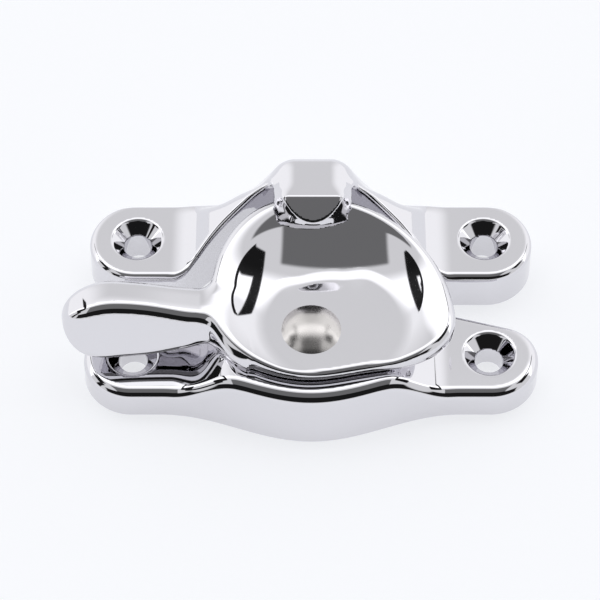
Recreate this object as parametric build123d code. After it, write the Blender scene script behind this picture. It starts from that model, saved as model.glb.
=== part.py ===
from build123d import *
import os
from math import cos, pi, radians, sin, sqrt

# Two-part rotary sash fastener (fitch pattern). Millimetres, +Z up.
# Origin: pivot axis at the underside of the base plate. +X runs along the
# meeting rail, +Y points from the base plate to the keep on the other sash.

# Screw plates, shared by the base and the keep
PLATE_HALF = 33.0          # half length of either plate
SCREW_X = 25.75            # screw holes sit at +X and -X of the centre line
SCREW_BORE_R = 2.025
CSK_R = 3.8                # 90 degree countersink for a 3.5 mm screw
LOBE_R = PLATE_HALF - SCREW_X
OGEE_END = 21.5            # where the S-shaped plan edge dies into the lobe

# Base plate
BASE_LOBE_TOP = 5.2
HUB_TOP = 9.0
HUB_FLAT_X = 10.5          # hub plateau half width
FLANK_END_X = 20.0         # foot of the hub flanks
BASE_BULGE = 4.6           # how far the front edge swells beyond the lobes
BASE_REAR_Y = 11.6
BASE_ROUND = 1.5
POCKET_X = 14.0            # hollow under the hub
POCKET_TOP = 6.4

# Pivot stack
SHANK_R = 2.5
RUNNING_GAP = 0.05         # radial clearance of the shank in the hub
NECK_SIDE = 5.0            # square neck, locked in the arm
TAIL_SIDE = 3.5            # square tail, carries the detent block
WASHER_R = 5.6
WASHER_T = 0.38
HEAD_R = 4.25
HEAD_H = 1.7
BLOCK_SIDE = 8.0
BLOCK_H = 2.78
AXIAL_GAP = 0.02
TAIL_WASHER_T = 0.7
PEEN_H = 0.8

# Leaf spring and its cast lugs
SPRING_HALF = 13.3
SPRING_T = 0.6
SPRING_Z = 3.9
SPRING_H = 2.4
LUG_X = 11.4
LUG_T = 1.7

# Cam arm
ARM_UNDER = 9.4
ARM_FLOOR = 11.3
RIM_R = 20.7
FLOOR_X = 3.2              # centre of the dish's round floor
FLOOR_Y = 1.2
FLOOR_R = 9.7
BOWL_R = 27.0              # the wall round the floor is part of a wide sphere
BOWL_STRETCH = 1.075       # that is stretched along X
RIM_PLANE_Z = 12.64        # height of the slanted rim plane over the pivot
RIM_SLOPE_X = -0.017
RIM_SLOPE_Y = 0.187
FRONT_RIM_Z = 12.45        # the rim levels out here, near the front edge
HANDLE_Y = 2.0
HANDLE_TIP_X = -35.6

# Keep
KEEP_Y = 19.5              # screw line
KEEP_FRONT_Y = 12.2
KEEP_REAR_Y = 26.5
KEEP_BULGE = 4.0
KEEP_BULGE_END = 14.0
KEEP_LOBE_TOP = 6.8
RECESS_R = 22.3            # hollow front wall, concentric with the pivot
NOSE_HALF = 5.9            # the tip is a half circle of this radius in plan
NOSE_TOP = 20.0
NOSE_TIP_Y = 14.4
NOSE_UNDER = 15.9
SLOT_TOP = 16.9            # the rim of the arm turns through a ring under the nose
SLOT_R = 17.0
KEEP_ROUND = 1.2
NOSE_ROUND = 1.0


def ogee(x, start, end):
    """1 inside start, 0 beyond end, an S-shaped cosine ramp between them."""
    t = min(max((abs(x) - start) / (end - start), 0.0), 1.0)
    return 0.5 * (1 + cos(pi * t))


def turned(profile):
    """Solid of revolution about the pivot from a closed (radius, z) polygon."""
    face = Plane.XZ * make_face(Polyline(*profile, close=True))
    return revolve(face, Axis.Z)


def mirrored_face(edges):
    """Close a chain of right-hand edges with its mirror image into a face."""
    chain = Curve() + edges
    return make_face(chain + mirror(chain, about=Plane.YZ))


def elevation(lobe_top, hub_top, flat_x, end_x):
    """Side-to-side profile of a plate: low lobes, raised middle, S flanks."""
    ramp = [flat_x + (end_x - flat_x) * i / 6 for i in range(7)]
    flank = [(x, lobe_top + (hub_top - lobe_top) * ogee(x, flat_x, end_x)) for x in ramp]
    wide = PLATE_HALF + 5
    edges = [
        Line((0, hub_top), (flat_x, hub_top)),
        Spline(*flank, tangents=((1, 0), (1, 0))),
        Line((end_x, lobe_top), (wide, lobe_top)),
        Line((wide, lobe_top), (wide, -1)),
        Line((wide, -1), (0, -1)),
    ]
    face = mirrored_face(edges)
    return extrude(Plane.XZ * face, 60, both=True)


def brink(part, lowest):
    """Edges above a height where an upright wall meets a top surface."""
    walls = [f for f in part.faces() if abs(f.normal_at().Z) < 0.06]
    tops = [f for f in part.faces() if f.normal_at().Z > 0.06]
    wall_edges = {e for f in walls for e in f.edges()}
    shared = {e for f in tops for e in f.edges() if e in wall_edges}
    return [e for e in shared if e.center().Z > lowest]


def screw_cutters(y, top):
    """Countersunk clearance holes at both ends of a plate."""
    cone_h = CSK_R - SCREW_BORE_R
    cutters = Part()
    for x in (-SCREW_X, SCREW_X):
        cutters += Pos(x, y, top / 2) * Cylinder(SCREW_BORE_R, top + 4)
        cutters += Pos(x, y, top - cone_h / 2) * Cone(SCREW_BORE_R, CSK_R, cone_h)
        cutters += Pos(x, y, top + 1) * Cylinder(CSK_R, 2)
    return cutters


# ---------------------------------------------------------------- base plate

def base_outline():
    """Plan of the base: swelling front edge, round ends, tapering rear edge."""
    xs = [OGEE_END * i / 7 for i in range(8)]
    front = [(x, -(LOBE_R + BASE_BULGE * ogee(x, 0, OGEE_END))) for x in xs]
    corner_r = 5.5
    corner_x = PLATE_HALF - corner_r
    lean = radians(15.6)
    taper_start = (corner_x + corner_r * sin(lean), corner_r * cos(lean))
    edges = [
        Spline(*front, tangents=((1, 0), (1, 0))),
        Line(front[-1], (SCREW_X, -LOBE_R)),
        CenterArc((SCREW_X, 0), LOBE_R, -90, 90),
        CenterArc((corner_x, 0), corner_r, 0, 90 - 15.6),
        Spline(taper_start, (20.0, 7.8), (0, BASE_REAR_Y),
               tangents=((-cos(lean), sin(lean)), (-1, 0))),
    ]
    return mirrored_face(edges)


def hub_pocket():
    """Eight-sided hollow that follows the plan of the hub inside its wall."""
    half = [(6.5, -9.0), (POCKET_X, -6.0), (POCKET_X, 7.0), (6.5, 9.2)]
    other = [(-x, y) for x, y in reversed(half)]
    return make_face(Polyline(*half, *other, close=True))


def spring_lugs():
    """Cast lugs that hang from the hub roof and grip the leaf spring's ends."""
    lug_l = POCKET_X - LUG_X + 0.5
    height = POCKET_TOP - 0.6 + 0.5
    lugs = Part()
    gap = BLOCK_SIDE / 2 + AXIAL_GAP
    for side in (-1, 1):
        x = side * (LUG_X + lug_l / 2)
        z = POCKET_TOP + 0.5 - height / 2
        lugs += Pos(x, gap - 0.02 - LUG_T / 2, z) * Box(lug_l, LUG_T, height)
        lugs += Pos(x, gap + SPRING_T + 0.02 + LUG_T / 2, z) * Box(lug_l, LUG_T, height)
    return lugs


def base_plate():
    outline = base_outline()
    body = extrude(outline, HUB_TOP + 1)
    body = body & elevation(BASE_LOBE_TOP, HUB_TOP, HUB_FLAT_X, FLANK_END_X)
    body = fillet(brink(body, 3), BASE_ROUND)
    body -= extrude(hub_pocket(), POCKET_TOP)
    body += spring_lugs() & extrude(outline, HUB_TOP - 1)
    body -= Cylinder(SHANK_R + RUNNING_GAP, 30)
    return body - screw_cutters(0, BASE_LOBE_TOP)


# --------------------------------------------------------------- pivot stack

def square_post(side, low, high):
    return Pos(0, 0, (low + high) / 2) * Box(side, side, high - low)


def round_post(radius, low, high):
    return Pos(0, 0, (low + high) / 2) * Cylinder(radius, high - low)


BLOCK_TOP = POCKET_TOP - AXIAL_GAP
BLOCK_LOW = BLOCK_TOP - BLOCK_H
TAIL_LOW = BLOCK_LOW - TAIL_WASHER_T


def pivot_rivet():
    """Domed head, square neck, round running shank, square tail, peened end."""
    dome_r = (HEAD_R ** 2 + HEAD_H ** 2) / (2 * HEAD_H)
    dome = Pos(0, 0, ARM_FLOOR + HEAD_H - dome_r) * Sphere(dome_r)
    head = dome & round_post(HEAD_R, ARM_FLOOR, ARM_FLOOR + 5)
    peen_r = 2.7
    peen = Pos(0, 0, TAIL_LOW - PEEN_H / 2) * Cone(peen_r - 0.6, peen_r, PEEN_H)
    rivet = head + square_post(NECK_SIDE, ARM_UNDER, ARM_FLOOR)
    rivet += round_post(SHANK_R, BLOCK_TOP, ARM_UNDER)
    rivet += square_post(TAIL_SIDE, TAIL_LOW, BLOCK_TOP)
    return rivet + peen


def friction_washer():
    """Thin disc on the hub that the arm turns on."""
    ring = round_post(WASHER_R, HUB_TOP, HUB_TOP + WASHER_T)
    return ring - round_post(SHANK_R + RUNNING_GAP, 0, 20)


def detent_block():
    """Square cam on the tail: its flats give the open and closed stops."""
    block = square_post(BLOCK_SIDE, BLOCK_LOW, BLOCK_TOP)
    block = fillet(block.edges().filter_by(Axis.Z), 1.2)
    return block - square_post(TAIL_SIDE, 0, 20)


def tail_washer():
    ring = round_post(3.7, TAIL_LOW, BLOCK_LOW)
    return ring - square_post(TAIL_SIDE, 0, 20)


def leaf_spring():
    """Flat strip of spring steel that bears on one flat of the block."""
    y = BLOCK_SIDE / 2 + AXIAL_GAP + SPRING_T / 2
    return Pos(0, y, SPRING_Z + SPRING_H / 2) * Box(2 * SPRING_HALF, SPRING_T, SPRING_H)


# ------------------------------------------------------------------- cam arm

def polar(radius, azimuth):
    return (radius * cos(radians(azimuth)), radius * sin(radians(azimuth)))


def dish_outline():
    """Plan of the dished cam: part circle whose rear end winds in to the handle."""
    front = [(-14.6, 0.1), (-12.6, -2.2), (-10.4, -4.5), (-7.5, -6.2), (-4.6, -7.2), (0.2, -7.8),
             (6.6, -6.8), (12.5, -6.0), (17.0, -4.4), (19.6, -1.4), polar(RIM_R, 12)]
    winding = [polar(RIM_R, 100), polar(19.5, 122), polar(18.2, 134), (-14.6, 8.0)]
    rim_start = (-sin(radians(12)), cos(radians(12)))
    rim_end = (-sin(radians(100)), cos(radians(100)))
    edges = [
        Spline(*front, tangents=((0.5, -1), rim_start)),
        CenterArc((0, 0), RIM_R, 12, 88),
        Spline(*winding, tangents=(rim_end, (0.1, -1))),
        Line(winding[-1], front[0]),
    ]
    return make_face(Curve() + edges)


def dish_cutter():
    """Bowl: a flat oval floor inside a wall that follows a stretched sphere."""
    centre_z = ARM_FLOOR + sqrt(BOWL_R ** 2 - FLOOR_R ** 2)
    sections = []
    for z in (ARM_FLOOR, 12.3, 13.5, 14.9, 16.5, 18.5):
        ring = sqrt(BOWL_R ** 2 - (centre_z - z) ** 2)
        sections.append(Pos(FLOOR_X, FLOOR_Y, z) * Ellipse(ring * BOWL_STRETCH, ring))
    return loft(sections, ruled=True)


def handle_section(x, width, height, mid_z):
    """Flat-topped thumb section with a firm ridge along its front upper edge."""
    ring = [(-0.80, 0.84), (-0.98, 0.0), (-0.70, -0.80), (0, -1.0), (0.70, -0.80),
            (1.0, 0.0), (0.72, 0.78), (0, 1.0)]
    points = [(x, HANDLE_Y + u * width / 2, mid_z + v * height / 2) for u, v in ring]
    return make_face(Spline(*points, periodic=True))


def handle():
    """Thumb piece, swelling towards the free end and closing in a round tip."""
    stations = [
        (-11.6, 9.4, 3.2, 11.6),
        (-14.2, 9.6, 4.6, 11.7),
        (-17.5, 10.0, 6.4, 11.7),
        (-22.5, 11.0, 7.9, 11.5),
        (-28.0, 12.0, 8.4, 11.5),
        (-32.0, 10.7, 7.6, 11.5),
        (-34.4, 7.5, 5.6, 11.5),
        (-35.3, 4.2, 3.2, 11.5),
    ]
    sections = [handle_section(*station) for station in stations]
    tip = Vertex(HANDLE_TIP_X, HANDLE_Y, 11.5)
    return loft(sections + [tip])


def cam_arm():
    blank = Pos(0, 0, ARM_UNDER) * extrude(dish_outline(), 12)
    rim_plane = Plane(origin=(0, 0, RIM_PLANE_Z), z_dir=(-RIM_SLOPE_X, -RIM_SLOPE_Y, 1))
    disc = split(blank, bisect_by=rim_plane, keep=Keep.BOTTOM)
    disc += Pos(0, 0, ARM_UNDER) * extrude(dish_outline(), FRONT_RIM_Z - ARM_UNDER)
    disc -= dish_cutter()
    arm = disc + handle()
    return arm - square_post(NECK_SIDE, 0, 30)


# ---------------------------------------------------------------------- keep

def keep_outline():
    """Plan of the keep: straight front, round ends, rear edge swelling out."""
    end_y = (KEEP_FRONT_Y + KEEP_REAR_Y) / 2
    end_r = (KEEP_REAR_Y - KEEP_FRONT_Y) / 2
    end_x = PLATE_HALF - end_r
    xs = [KEEP_BULGE_END * i / 7 for i in range(8)]
    rear = [(x, KEEP_REAR_Y + KEEP_BULGE * ogee(x, 0, KEEP_BULGE_END)) for x in xs]
    edges = [
        Line((0, KEEP_FRONT_Y), (end_x, KEEP_FRONT_Y)),
        CenterArc((end_x, end_y), end_r, -90, 180),
        Line((end_x, KEEP_REAR_Y), rear[-1]),
        Spline(*rear, tangents=((1, 0), (1, 0))),
    ]
    return mirrored_face(edges)


def shoulder_elevation():
    """Front view of the keep: shoulders sweep up from the lobes to the nose."""
    wide = PLATE_HALF + 5
    flank = [(6.0, 18.4), (9.6, 14.9), (12.6, 12.2), (15.0, 10.0), (17.4, 7.7), (19.6, KEEP_LOBE_TOP)]
    edges = [
        Line((0, 18.4), flank[0]),
        Spline(*flank, tangents=((0.65, -1), (1, 0))),
        Line(flank[-1], (wide, KEEP_LOBE_TOP)),
        Line((wide, KEEP_LOBE_TOP), (wide, -1)),
        Line((wide, -1), (0, -1)),
    ]
    return extrude(Plane.XZ * mirrored_face(edges), 60, both=True)


def side_prism(points, half_width):
    """Prism along X from a (y, z) polygon."""
    face = make_face(Polyline(*points, close=True))
    return extrude(Plane.YZ * face, half_width, both=True)


def keep_shoulders():
    """Ridged body behind the hollow front wall, falling steeply to the rear."""
    body = extrude(keep_outline(), NOSE_TOP) & shoulder_elevation()
    top = KEEP_LOBE_TOP
    fall = side_prism([(0, -1), (40, -1), (40, top), (27.2, top), (22.0, 16.2), (20.3, 18.6), (0, 18.6)], 40)
    body = body & fall
    ends = [e for e in brink(body, 5) if abs(e.center().X) > 17 and e.center().Z < top + 0.05]
    return fillet(ends, KEEP_ROUND)


def nose_block():
    """Blunt nose with a beak that reaches over the rim of the arm."""
    side = side_prism([(21, 0), (30.4, 0), (28.6, 7.0), (25.1, NOSE_TOP), (17.2, NOSE_TOP),
                       (NOSE_TIP_Y, 17.86), (NOSE_TIP_Y, 16.8), (15.5, NOSE_UNDER), (21, NOSE_UNDER)], NOSE_HALF)
    tip_y = NOSE_TIP_Y + NOSE_HALF
    plan = make_face(Curve() + [
        CenterArc((0, tip_y), NOSE_HALF, 180, 180),
        Line((NOSE_HALF, tip_y), (NOSE_HALF, 31)),
        Line((NOSE_HALF, 31), (-NOSE_HALF, 31)),
        Line((-NOSE_HALF, 31), (-NOSE_HALF, tip_y)),
    ])
    block = side & extrude(plan, 40)
    rear_top = block.edges().filter_by(Axis.X).sort_by(Axis.Z)[-2:].sort_by(Axis.Y)[-1]
    block = fillet(rear_top, 2.4)
    crown = [e for e in block.edges() if e.bounding_box().min.Z > 16.9 and e.center().Y > 18]
    return fillet(crown, NOSE_ROUND)


def rim_slot():
    """Ring of clearance under the nose that the arm's rim turns through."""
    return turned([(SLOT_R, -1), (SLOT_R, NOSE_UNDER), (SLOT_R + 0.4, SLOT_TOP), (RECESS_R, SLOT_TOP), (RECESS_R, -1)])


def keep():
    body = keep_shoulders() - round_post(RECESS_R, -1, 30)
    body += (nose_block() - rim_slot()) & extrude(keep_outline(), NOSE_TOP + 1)
    hollow = Pos(0, 24.5, 0) * extrude(Rectangle(22, 2.2), 4.6)
    core = Pos(0, 24.9, 0) * extrude(Rectangle(7, 3.0), 10)
    body -= hollow + core
    return body - screw_cutters(KEEP_Y, KEEP_LOBE_TOP)


PIECES = {
    "base_plate": base_plate,
    "friction_washer": friction_washer,
    "leaf_spring": leaf_spring,
    "cam_arm": cam_arm,
    "pivot_rivet": pivot_rivet,
    "detent_block": detent_block,
    "tail_washer": tail_washer,
    "keep": keep,
}

os.makedirs("parts", exist_ok=True)
for name, build in PIECES.items():
    export_step(build(), f"parts/{name}.step")
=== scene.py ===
"""Chrome sash fastener on a white sweep: fine shapes, finishes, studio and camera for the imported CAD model.

The three castings are drawn as rounded implicit solids in millimetres, from the same dimensions as the CAD:
a field is negative inside the metal and zero on its skin. The small steel pieces keep their CAD shapes.
"""

import bpy
import numpy as np
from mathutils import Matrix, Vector


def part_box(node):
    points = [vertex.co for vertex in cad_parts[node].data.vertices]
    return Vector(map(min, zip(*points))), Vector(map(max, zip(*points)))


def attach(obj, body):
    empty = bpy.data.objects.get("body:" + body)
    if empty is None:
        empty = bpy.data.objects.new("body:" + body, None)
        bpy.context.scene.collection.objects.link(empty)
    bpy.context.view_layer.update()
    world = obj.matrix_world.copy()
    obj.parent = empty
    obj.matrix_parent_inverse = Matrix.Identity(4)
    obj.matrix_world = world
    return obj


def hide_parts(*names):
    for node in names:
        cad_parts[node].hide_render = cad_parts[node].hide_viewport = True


MM = 0.001
PITCH = 0.27      # spacing of the mesh on the castings, mm

# Both plates
PLATE_HALF = 33.0
SCREW_X = 25.75
LOBE_R = PLATE_HALF - SCREW_X
BORE_R = 2.025
CSK_R = 3.8
DRAFT = 0.03                              # lean of the plates' walls, mm per mm of height

# Base plate
BASE_LOBE_TOP = 5.2
HUB_TOP = 9.0
HUB_FLAT_X = 10.5                         # the hub's top is level out to here
FLANK_END_X = 20.0                        # its flank meets the lobe here
HUB_LEAN = 0.14                           # extra lean of the hub's walls, fading out along the flanks
LEAN_FADE_X = (9.0, 19.0)
BASE_BULGE = 4.6
BULGE_END_X = 21.5
BASE_REAR_Y = 11.69
REAR_TAPER = 0.28
REAR_BLEND = 7.0
CORNER_R = 5.5
CORNER_LEAN = np.radians(15.6)
PIVOT_BORE_R = 2.55
POCKET_X = 14.0
POCKET_FRONT_Y = -9.0
POCKET_REAR_Y = 9.2
POCKET_ROOF = 6.4
LUG_X = (11.4, 14.4)
LUG_Z = (0.6, 6.8)
LUG_ROWS_Y = ((2.3, 4.0), (4.64, 6.35))

# Cam arm
ARM_UNDER = 9.4
ARM_FLOOR = 11.3
RIM_R = 20.7
RIM_WIND = 5.6                            # how far the rim winds inwards behind the handle
WIND_AZIMUTH = (98, 174)
FLOOR_CENTRE = (3.2, 1.2)
FLOOR_R = 9.7
FLOOR_DIP = 0.42                          # the floor sinks this much behind the rivet
DIP_X = 1.6
DIP_Y = (3.6, 9.5)
BOWL_R = 27.0
BOWL_STRETCH = 0.93
NECK_HALF = 2.5
RIM_FRONT_Z = 12.64
RIM_SLOPE_X = 0.017
RIM_SLOPE_Y = 0.187
FACET_LEAN = np.radians(27)
HANDLE_CROWN = 0.018
CROWN_Y = 3.2
HANDLE_ROOT_X = -9.5
TIP_START = -28.0
TIP_END = -35.6
TIP_Y = 2.4
TIP_Z = 11.4

# Keep
KEEP_FRONT_Y = 12.2
KEEP_REAR_Y = 26.5
KEEP_BULGE = 4.0
KEEP_BULGE_END = 14.0
KEEP_SCREW_Y = 19.5
KEEP_LOBE_TOP = 6.8
RECESS_R = 22.3
NOSE_TOP = 20.0
NOSE_X = 0.25
NOSE_CENTRE_Y = 20.1
NOSE_R = 5.56                             # at the height BEAK_Z
BEAK_Z = 17.9
NOSE_FLARE = 0.17
BEAK_FLARE = 0.24
TONGUE_Y = 17.2                           # where the nose's sloping front meets its top
NOSE_REAR_Y = 25.1
NOSE_ROOT_Y = 20.5                        # in front of this the nose has an underside
CHAMFER_Y = 14.3
CHAMFER_Z = 17.0
NOSE_UNDER = 15.9
SLOT_R = 17.0
SLOT_TOP = 16.9
SHOULDER_Z = 16.2
HOLLOW_Y = (23.4, 25.6)
HOLLOW_ROOF = 4.6
CORE_Y = (23.4, 26.4)
CORE_ROOF = 10.0

# Studio, in units of background strength
ROOM_LEVEL = 0.82
SOFTBOX_LEVEL = 0.62
BESIDE_LEVEL = 0.35
DARKENING = 0.985
GREY_LEVEL = 0.163
FLOOR_GLOW = 0.74

# Camera
LENS = 144.0
CAMERA_TARGET = Vector((-0.0016, 0.0097, 0.005))
CAMERA_DISTANCE = 0.352
CAMERA_ELEVATION = np.radians(54.2)


# ------------------------------------------------------------ field algebra

def cut(a, b, radius):
    """What lies in both solids, with the edge between them rounded."""
    corner = np.hypot(np.maximum(a + radius, 0), np.maximum(b + radius, 0))
    return np.minimum(np.maximum(a, b), -radius) + corner


def join(a, b, radius):
    """What lies in either solid, with a fillet between them."""
    return -cut(-a, -b, radius)


def ramp(x, start, end):
    """0 before start, 1 after end, an S-shaped cosine between them."""
    t = np.clip((x - start) / (end - start), 0, 1)
    return 0.5 * (1 - np.cos(np.pi * t))


def curve(*points):
    """Smooth curve through (x, y) points: a natural cubic spline, level beyond its ends."""
    xs, ys = np.array(points, float).T
    h = np.diff(xs)
    slope = np.diff(ys) / h
    n = len(xs)
    system = np.eye(n)
    right = np.zeros(n)
    for i in range(1, n - 1):
        system[i, i - 1:i + 2] = h[i - 1], 2 * (h[i - 1] + h[i]), h[i]
        right[i] = 6 * (slope[i] - slope[i - 1])
    bend = np.linalg.solve(system, right)

    def value(x):
        x = np.clip(x, xs[0], xs[-1])
        i = np.clip(np.searchsorted(xs, x) - 1, 0, n - 2)
        t = x - xs[i]
        start = slope[i] - h[i] * (2 * bend[i] + bend[i + 1]) / 6
        return ys[i] + t * start + t ** 2 * bend[i] / 2 + t ** 3 * (bend[i + 1] - bend[i]) / (6 * h[i])

    return value


def above(line, x, y, step=0.02):
    """Signed distance of (x, y) above the curve y = line(x), near it."""
    steep = (line(x + step) - line(x - step)) / (2 * step)
    return (y - line(x)) / np.sqrt(1 + steep ** 2)


def block(values_and_limits):
    """Box-like solid: every value stays within its (low, high)."""
    return np.maximum.reduce([np.maximum(low - v, v - high) for v, low, high in values_and_limits])


def screw_hole(q, y, z, top):
    """Clearance hole with a 90 degree countersink, at distance q from the centre line."""
    r = np.hypot(q - SCREW_X, y)
    cone_foot = top - (CSK_R - BORE_R)
    cone = (r - BORE_R - (z - cone_foot)) * np.sqrt(0.5)
    return np.minimum(r - BORE_R, cone)


# ---------------------------------------------------------------- base plate

def base_front(q):
    """Front edge: swells forward round the hub."""
    return -LOBE_R - BASE_BULGE * (1 - ramp(q, 0, BULGE_END_X))


def base_rear(q):
    """Rear edge: tapers towards the ends."""
    return BASE_REAR_Y - REAR_TAPER * (np.sqrt(q ** 2 + REAR_BLEND ** 2) - REAR_BLEND)


def base_top(q):
    """Height of the top: level hub, S-shaped flanks, level lobes."""
    return HUB_TOP - (HUB_TOP - BASE_LOBE_TOP) * ramp(q, HUB_FLAT_X, FLANK_END_X)


def base_plan(q, y):
    """Swelling front edge, round front ends, smaller rear corners, tapering rear edge."""
    end = np.hypot(q - SCREW_X, np.minimum(y, 0)) - LOBE_R
    front = np.where(q < SCREW_X, -above(base_front, q, y), end)
    corner_x = PLATE_HALF - CORNER_R
    corner = np.hypot(np.maximum(q - corner_x, 0), np.maximum(y, 0)) - CORNER_R
    in_corner = (q - corner_x) * np.cos(CORNER_LEAN) > y * np.sin(CORNER_LEAN)
    rear = np.where(in_corner, corner, above(base_rear, q, y))
    return np.maximum(front, rear)


def hub_pocket(q, y, z):
    """Hollow under the hub, with slanted ends."""
    front = 0.371 * (q - POCKET_X) - 0.928 * (y + 6)
    rear = 0.281 * (q - POCKET_X) + 0.960 * (y - 7)
    sides = np.maximum.reduce([q - POCKET_X, POCKET_FRONT_Y - y, y - POCKET_REAR_Y, front, rear])
    return cut(sides, z - POCKET_ROOF, 0.5)


def spring_lugs(q, y, z):
    """Pairs of lugs that hold the spring's ends between them."""
    rows = [block([(q, *LUG_X), (y, *row), (z, *LUG_Z)]) for row in LUG_ROWS_Y]
    return np.minimum(*rows)


def base_field(x, y, z):
    """Base plate: leaning walls, stepped top, two screw holes, pivot bore, pocket and lugs."""
    q = np.abs(x)
    lean = DRAFT + HUB_LEAN * (1 - ramp(q, *LEAN_FADE_X))
    metal = cut(base_plan(q, y) + lean * z, above(base_top, q, z), 1.6)
    metal = cut(metal, -z, 0.3)
    metal = cut(metal, -screw_hole(q, y, z, BASE_LOBE_TOP), 0.2)
    metal = cut(metal, PIVOT_BORE_R - np.hypot(x, y), 0.2)
    metal = cut(metal, -hub_pocket(q, y, z), 0.3)
    return np.minimum(metal, spring_lugs(q, y, z))


# ------------------------------------------------------------------- cam arm

arm_front = curve((-22, 0.6), (-17, 0.6), (-14.6, 0.1), (-12.6, -2.2), (-10.4, -4.5), (-7.5, -6.2),
                  (-4.6, -7.2), (0.2, -7.8), (6.6, -6.8), (12.5, -5.9), (17, -5.6), (22, -5.4))
ridge_y = curve((-37, -1.0), (-33, -0.2), (-30, 0.6), (-27, 0.9), (-20, 0.7), (-17, 0.6), (-14.6, 0.2),
                (-12.6, -2.1), (-10.4, -4.4), (-8, -6.0))
handle_top = curve((-37, 15.7), (-28, 15.7), (-22, 15.0), (-18, 14.2), (-15, 13.6), (-12, 12.9), (-9, 12.0))
handle_rear = curve((-37, 7.4), (-28, 7.4), (-22, 7.1), (-17, 7.0), (-13, 7.4))
handle_under = curve((-37, 7.2), (-27, 7.2), (-22, 7.5), (-19, 8.0), (-16, 8.4), (-13, 9.2), (-9, 9.6))


def arm_plan(x, y):
    """Round dish whose outline winds in behind the handle, cut off by the wavy front edge."""
    azimuth = (np.degrees(np.arctan2(y, x)) + 110) % 360 - 110
    disc = np.hypot(x, y) - RIM_R + RIM_WIND * ramp(azimuth, *WIND_AZIMUTH)
    corner = 2.0 + 5.8 * ramp(x, 0, 11)
    return cut(disc, -above(arm_front, x, y), corner)


def bowl_field(x, y, z):
    """Dished face: round floor that dips a little behind the rivet, and a wall of a wide sphere."""
    dip = FLOOR_DIP * ramp(y, *DIP_Y) * ramp(np.abs(x - DIP_X), 7.5, 2.5)
    depth = np.sqrt(BOWL_R ** 2 - FLOOR_R ** 2)
    across = BOWL_STRETCH * (x - FLOOR_CENTRE[0])
    from_centre = np.sqrt(across ** 2 + (y - FLOOR_CENTRE[1]) ** 2 + (z - ARM_FLOOR - depth) ** 2)
    return join(z - ARM_FLOOR + dip, BOWL_R - from_centre, 0.35)


def rim_height(x, y):
    """The rim lies in a plane that climbs to the rear, and levels out near the front edge."""
    rise = 0.5 * (y + 1 + np.hypot(y + 1, 2)) - 1
    return RIM_FRONT_Z - RIM_SLOPE_X * x + RIM_SLOPE_Y * rise


def handle_field(x, y, z):
    """Thumb piece: flat crowned top, leaning front facet, round back and belly, shrinking to a round tip."""
    past = np.clip((TIP_START - x) / (TIP_START - TIP_END), 0, 0.999)
    size = np.sqrt(1 - past ** 2)
    y = TIP_Y + (y - TIP_Y) / size
    z = TIP_Z + (z - TIP_Z) / size
    top = z - handle_top(x) + HANDLE_CROWN * (y - CROWN_Y) ** 2
    front = -np.cos(FACET_LEAN) * (y - ridge_y(x)) + np.sin(FACET_LEAN) * (z - handle_top(x))
    rear = 0.97 * (y - handle_rear(x)) + 0.24 * (z - 11)
    under = handle_under(x) - z
    bar = cut(cut(top, front, 0.9), cut(rear, under, 3.0), 2.2)
    return np.maximum.reduce([bar * size, TIP_END - x, x - HANDLE_ROOT_X])


def arm_field(x, y, z):
    """Cam arm: disc with a sloping rim, joined handle, dished face and square hole for the rivet's neck."""
    disc = cut(arm_plan(x, y), (z - rim_height(x, y)) / 1.0175, 1.5)
    disc = cut(disc, ARM_UNDER - z, 0.9)
    metal = join(disc, handle_field(x, y, z), 1.6)
    metal = cut(metal, bowl_field(x, y, z), 0.85)
    neck = np.maximum(np.abs(x), np.abs(y)) - NECK_HALF
    return cut(metal, -neck, 0.05)


# ---------------------------------------------------------------------- keep

shoulder_top = curve((0, 18.9), (3.5, 18.9), (6.0, 18.0), (9.6, 14.9), (12.6, 12.3), (15.0, 10.2),
                     (17.6, 7.6), (20.4, 5.4), (24, 4.4))
shoulder_back = curve((0, 24.3), (5.0, 23.9), (7.6, 22.2), (10.6, 20.7), (12.8, 19.4), (16, 18.6), (22, 18.4))


def keep_rear(q):
    """Rear edge: swells backward behind the nose."""
    return KEEP_REAR_Y + KEEP_BULGE * (1 - ramp(q, 0, KEEP_BULGE_END))


def keep_plan(q, y):
    """Straight front, swelling rear and half-round ends."""
    end_r = (KEEP_REAR_Y - KEEP_FRONT_Y) / 2
    end_x = PLATE_HALF - end_r
    end = np.hypot(q - end_x, y - KEEP_FRONT_Y - end_r) - end_r
    straight = np.maximum(KEEP_FRONT_Y - y, above(keep_rear, q, y))
    return np.where(q > end_x, end, straight)


def nose_field(x, y, z):
    """Blunt nose, half round in plan, whose sloping tongue leans out over the rim and flares below."""
    below = z - 18.4
    flare = NOSE_FLARE * (z - BEAK_Z) + BEAK_FLARE * 0.5 * (below - np.hypot(below, 0.6))
    plan = 0.95 * (np.hypot(x - NOSE_X, np.minimum(y - NOSE_CENTRE_Y, 0)) - NOSE_R + flare)
    front = 0.788 * (z - NOSE_TOP) - 0.616 * (y - TONGUE_Y)
    rear = 0.96 * (y - NOSE_REAR_Y) + 0.26 * (z - NOSE_TOP)
    crown = cut(cut(front, z - NOSE_TOP, 0.15), rear, 2.4)
    chamfer = 0.857 * (CHAMFER_Z - z) + 0.514 * (CHAMFER_Y - y)
    beak = cut(crown, np.maximum(NOSE_UNDER - z, chamfer), 0.2)
    root = np.maximum(crown, NOSE_ROOT_Y - y)
    return cut(plan, np.minimum(beak, root), 0.12 + 2.6 * ramp(y, 16.2, 20))


def slot_field(x, y, z):
    """Ring under the nose that the arm's rim turns through."""
    r = np.hypot(x, y)
    inner = (SLOT_R - r + (z - NOSE_UNDER) * 0.387) * 0.93
    return cut(cut(inner, r - RECESS_R, 0.1), z - SLOT_TOP, 0.5)


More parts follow.
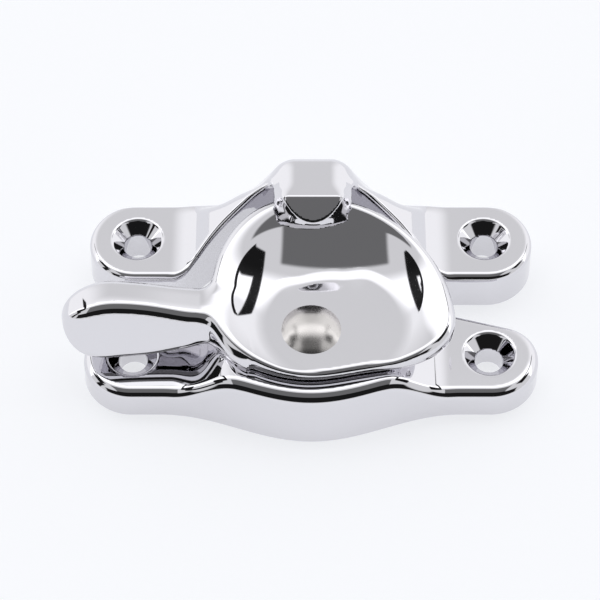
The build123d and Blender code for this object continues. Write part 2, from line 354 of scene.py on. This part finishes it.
def keep_field(x, y, z):
    """Keep: plate with shoulders climbing to the nose, round recess, rim slot, screw holes and hollow."""
    q = np.abs(x)
    recess = RECESS_R - np.hypot(x, y)
    plan = cut(keep_plan(q, y) + DRAFT * z, recess, 1.6)
    back = 0.814 * (y - shoulder_back(q)) + 0.58 * (z - SHOULDER_Z)
    ridge = cut(above(shoulder_top, q, z), back, 0.9)
    metal = cut(plan, join(z - KEEP_LOBE_TOP, ridge, 1.5), 1.1)
    metal = join(metal, nose_field(x, y, z), 1.5)
    metal = cut(metal, above(keep_rear, q, y) + DRAFT * z, 1.0)
    metal = cut(metal, -slot_field(x, y, z), 0.35)
    metal = cut(metal, -z, 0.3)
    metal = cut(metal, -screw_hole(q, y - KEEP_SCREW_Y, z, KEEP_LOBE_TOP), 0.2)
    hollow = block([(q, -20, 11), (y, *HOLLOW_Y), (z, -9, HOLLOW_ROOF)])
    core = block([(q, -20, 3.5), (y, *CORE_Y), (z, -9, CORE_ROOF)])
    return cut(metal, -np.minimum(hollow, core), 0.3)


# ------------------------------------------------------- fields into meshes

def crossings(values, low, pitch):
    """Cells that the skin passes through, and the mean crossing point in each."""
    shape = np.array(values.shape) - 1
    total = np.zeros(tuple(shape) + (3,))
    count = np.zeros(tuple(shape))
    corners = [(i, j, k) for i in (0, 1) for j in (0, 1) for k in (0, 1)]

    def part(c):
        return values[c[0]:c[0] + shape[0], c[1]:c[1] + shape[1], c[2]:c[2] + shape[2]]

    for a in corners:
        for axis in range(3):
            if a[axis]:
                continue
            b = tuple(a[n] + (n == axis) for n in range(3))
            va = part(a)
            vb = part(b)
            hit = (va < 0) != (vb < 0)
            t = np.where(hit, va / np.where(hit, va - vb, 1), 0)
            for n in range(3):
                total[..., n] += hit * (a[n] + (t if n == axis else 0))
            count += hit
    cells = np.argwhere(count > 0)
    picked = tuple(cells.T)
    points = (cells + total[picked] / count[picked][:, None]) * pitch + low
    index = np.full(tuple(shape), -1)
    index[picked] = np.arange(len(cells))
    return points, index


def skin_quads(values, index):
    """One quad across every grid edge that changes sign, facing outwards."""
    inside = values < 0
    quads = []
    for axis in range(3):
        u, v = (axis + 1) % 3, (axis + 2) % 3
        here = np.take(inside, range(inside.shape[axis] - 1), axis)
        there = np.take(inside, range(1, inside.shape[axis]), axis)
        for flip, hit in ((False, here & ~there), (True, ~here & there)):
            at = np.argwhere(hit)
            back_u = np.eye(3, dtype=int)[u]
            back_v = np.eye(3, dtype=int)[v]
            ring = [at - back_u - back_v, at - back_v, at, at - back_u]
            if flip:
                ring.reverse()
            quads.append(np.stack([index[tuple(c.T)] for c in ring], axis=1))
    return np.concatenate(quads)


def gradient(field, points, step=0.01):
    """Slope of the field at each point, by central differences."""
    slopes = []
    for n in range(3):
        shift = np.eye(3)[n] * step
        slopes.append((field(*(points + shift).T) - field(*(points - shift).T)) / (2 * step))
    return np.stack(slopes, axis=1)


def onto_skin(field, points, reach):
    """Newton steps that bring points onto the zero surface of the field."""
    for _ in range(3):
        g = gradient(field, points)
        size = np.maximum((g ** 2).sum(axis=1), 0.05)
        move = -(field(*points.T) / size)[:, None] * g
        length = np.linalg.norm(move, axis=1, keepdims=True)
        points = points + move * np.minimum(1, reach / np.maximum(length, 1e-9))
    return points


def relax(points, quads):
    """Evens out the mesh: every point moves half way to its neighbours' mean."""
    total = np.zeros_like(points)
    count = np.zeros(len(points))
    for n in range(4):
        a = quads[:, n]
        b = quads[:, (n + 1) % 4]
        for one, other in ((a, b), (b, a)):
            np.add.at(total, one, points[other])
            np.add.at(count, one, 1)
    return 0.5 * points + 0.5 * total / count[:, None]


def casting(name, field, node):
    """Mesh of a field over its CAD node's box, with normals taken from the field."""
    low, high = (np.array(c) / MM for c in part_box(node))
    low = low - 4 * PITCH
    steps = np.ceil((high + 4 * PITCH - low) / PITCH).astype(int)
    axes = [low[n] + PITCH * np.arange(steps[n] + 1) for n in range(3)]
    grid = np.meshgrid(*axes, indexing="ij")
    values = field(*[g.ravel() for g in grid]).reshape(grid[0].shape)
    points, index = crossings(values, low, PITCH)
    quads = skin_quads(values, index)
    points = onto_skin(field, points, PITCH)
    for _ in range(2):
        points = onto_skin(field, relax(points, quads), PITCH / 2)
    mesh = bpy.data.meshes.new(name)
    mesh.from_pydata((points * MM).tolist(), [], quads.tolist())
    mesh.shade_smooth()
    g = gradient(field, points)
    mesh.normals_split_custom_set_from_vertices((g / np.linalg.norm(g, axis=1, keepdims=True)).tolist())
    piece = bpy.data.objects.new(name, mesh)
    bpy.context.scene.collection.objects.link(piece)
    return piece


# ----------------------------------------------------------------- materials

def metal(name, colour, spread, roughness, grain):
    """Metal whose tone and roughness drift slightly over the surface, following a fine noise pattern."""
    material = bpy.data.materials.new(name)
    material.use_nodes = True
    nodes = material.node_tree.nodes
    links = material.node_tree.links
    shader = nodes["Principled BSDF"]
    shader.inputs["Metallic"].default_value = 1.0
    where = nodes.new("ShaderNodeTexCoord")
    noise = nodes.new("ShaderNodeTexNoise")
    noise.inputs["Scale"].default_value = grain
    noise.inputs["Detail"].default_value = 3.0
    links.new(where.outputs["Object"], noise.inputs["Vector"])
    tone = nodes.new("ShaderNodeValToRGB")
    tone.color_ramp.elements[0].position = 0.3
    tone.color_ramp.elements[1].position = 0.7
    tone.color_ramp.elements[0].color = [c * (1 - spread) for c in colour] + [1]
    tone.color_ramp.elements[1].color = [c * (1 + spread) for c in colour] + [1]
    links.new(noise.outputs["Fac"], tone.inputs["Fac"])
    links.new(tone.outputs["Color"], shader.inputs["Base Color"])
    rough = nodes.new("ShaderNodeMapRange")
    rough.inputs["To Min"].default_value = roughness * 0.7
    rough.inputs["To Max"].default_value = roughness * 1.3
    links.new(noise.outputs["Fac"], rough.inputs["Value"])
    links.new(rough.outputs["Result"], shader.inputs["Roughness"])
    return material


def repaint(node, material):
    """Gives a CAD node that is shown as it is its finish."""
    node.data.materials.clear()
    node.data.materials.append(material)


# ------------------------------------------------------------ studio, camera

def maths(tree):
    """Functions that add arithmetic nodes to a shader tree."""

    def math(kind, *values):
        node = tree.nodes.new("ShaderNodeMath")
        node.operation = kind
        for socket, value in zip(node.inputs, values):
            if isinstance(value, (int, float)):
                socket.default_value = value
            else:
                tree.links.new(value, socket)
        return node.outputs[0]

    def step(value, start, end):
        node = tree.nodes.new("ShaderNodeMapRange")
        node.interpolation_type = "SMOOTHSTEP"
        node.inputs["From Min"].default_value = start
        node.inputs["From Max"].default_value = end
        tree.links.new(value, node.inputs["Value"])
        return node.outputs["Result"]

    def window(value, start, end, blur):
        return math("MULTIPLY", step(value, start - blur, start + blur), step(value, end + blur, end - blur))

    return math, step, window


def side_flags(tree, x, side, reach, lift):
    """Black cards: an upright strip and a header on each side, and a small one at the front left."""
    math, step, window = maths(tree)
    inner_edge = step(side, 0.57, 0.58)
    strip = math("MULTIPLY", inner_edge, step(side, 0.645, 0.635))
    header = math("MULTIPLY", inner_edge, step(reach, 0.24, 0.18))
    cards = math("MULTIPLY", math("MAXIMUM", strip, header), window(reach, -0.28, 0.89, 0.02))
    cards = math("MULTIPLY", cards, step(lift, 0.62, 0.66))
    corner = math("MULTIPLY", window(reach, -0.46, -0.26, 0.02), window(lift, 0.05, 0.95, 0.02))
    corner = math("MULTIPLY", corner, step(x, -0.1, -0.2))
    return math("MAXIMUM", cards, corner)


def world_light():
    """White room with a dark opening in front, a softbox past the top and black cards at the sides.

    The room is drawn by direction. arc runs in degrees from the front horizon over the top to the rear one,
    side is 0 straight on and 1 square to the side, and reach and lift are the backward and upward parts of
    a direction for each unit to the side.
    """
    world = bpy.data.worlds.new("studio")
    bpy.context.scene.world = world
    world.use_nodes = True
    tree = world.node_tree
    math, step, window = maths(tree)
    where = tree.nodes.new("ShaderNodeTexCoord")
    split = tree.nodes.new("ShaderNodeSeparateXYZ")
    tree.links.new(where.outputs["Generated"], split.inputs[0])
    x, y, z = split.outputs
    arc = math("MULTIPLY", math("ARCTAN2", z, math("MULTIPLY", y, -1.0)), 57.2958)
    side = math("ABSOLUTE", x)
    reach = math("DIVIDE", y, side)
    lift = math("DIVIDE", z, side)

    opening = math("MULTIPLY", window(arc, 6.0, 85.0, 1.5), step(side, 0.47, 0.43))
    apron = math("MULTIPLY", window(arc, 6.0, 46.0, 2.0), step(side, 0.8, 0.74))
    dark = math("MAXIMUM", math("MAXIMUM", opening, apron), side_flags(tree, x, side, reach, lift))
    grey = math("MULTIPLY", window(arc, 48.0, 88.0, 1.5), step(side, 0.49, 0.46))
    grey = math("MULTIPLY", grey, opening)
    softbox = window(arc, 95.0, 120.0, 5.0)
    beside = math("MULTIPLY", step(side, 0.05, 0.6), step(arc, 95.0, 105.0))

    level = math("ADD", ROOM_LEVEL, math("MULTIPLY", softbox, SOFTBOX_LEVEL))
    level = math("ADD", level, math("MULTIPLY", beside, BESIDE_LEVEL))
    level = math("MULTIPLY", level, math("SUBTRACT", 1.0, math("MULTIPLY", dark, DARKENING)))
    level = math("ADD", level, math("MULTIPLY", grey, GREY_LEVEL))
    background = tree.nodes["Background"]
    tree.links.new(level, background.inputs["Strength"])
    background.inputs["Color"].default_value = (0.985, 0.99, 1.0, 1)


def floor():
    """White sweep that glows enough to hold a near-white field under the part."""
    bpy.ops.mesh.primitive_plane_add(size=6.0, location=(0, 0, 0))
    plane = bpy.context.object
    plane.name = "floor"
    material = bpy.data.materials.new("sweep")
    material.use_nodes = True
    shader = material.node_tree.nodes["Principled BSDF"]
    shader.inputs["Base Color"].default_value = (0.35, 0.355, 0.37, 1)
    shader.inputs["Roughness"].default_value = 1.0
    shader.inputs["Specular IOR Level"].default_value = 0.0
    shader.inputs["Emission Color"].default_value = (0.945, 0.955, 0.98, 1)
    shader.inputs["Emission Strength"].default_value = FLOOR_GLOW
    plane.data.materials.append(material)


def camera():
    """Long lens looking down from the front."""
    data = bpy.data.cameras.new("camera")
    data.sensor_width = 36
    data.lens = LENS
    data.clip_start = 0.01
    eye = bpy.data.objects.new("camera", data)
    bpy.context.scene.collection.objects.link(eye)
    away = Vector((0, -np.cos(CAMERA_ELEVATION), np.sin(CAMERA_ELEVATION)))
    eye.location = CAMERA_TARGET + CAMERA_DISTANCE * away
    eye.rotation_euler = (CAMERA_TARGET - eye.location).to_track_quat("-Z", "Y").to_euler()
    bpy.context.scene.camera = eye


# ---------------------------------------------------------------------- main

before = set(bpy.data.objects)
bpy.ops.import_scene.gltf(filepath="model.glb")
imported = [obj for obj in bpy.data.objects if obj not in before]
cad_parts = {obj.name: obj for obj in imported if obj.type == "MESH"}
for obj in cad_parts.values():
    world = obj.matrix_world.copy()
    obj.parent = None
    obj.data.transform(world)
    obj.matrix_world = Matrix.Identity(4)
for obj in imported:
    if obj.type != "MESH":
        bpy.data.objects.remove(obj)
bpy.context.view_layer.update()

bpy.context.scene.view_settings.view_transform = "Standard"

chrome = metal("bright_chrome", (0.733, 0.725, 0.755), 0.012, 0.035, 60.0)
satin = metal("satin_rivet", (0.64, 0.615, 0.6), 0.04, 0.26, 400.0)
zinc = metal("zinc_plate", (0.5, 0.5, 0.5), 0.06, 0.3, 500.0)
blued = metal("blued_spring", (0.3, 0.32, 0.38), 0.1, 0.28, 300.0)

CASTINGS = [
    ("base_casting", base_field, "base_plate", "base", "base_chrome"),
    ("arm_casting", arm_field, "cam_arm", "arm", "arm_chrome"),
    ("keep_casting", keep_field, "keep", "keep_half", "keep_chrome"),
]
for name, field, node, body, finish in CASTINGS:
    piece = casting(name, field, node)
    piece.data.materials.append(chrome)
    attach(piece, body)
    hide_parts(node)

repaint(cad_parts["pivot_rivet"], satin)
repaint(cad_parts["leaf_spring"], blued)
for node in ("friction_washer", "detent_block", "tail_washer"):
    repaint(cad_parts[node], zinc)

world_light()
floor()
camera()
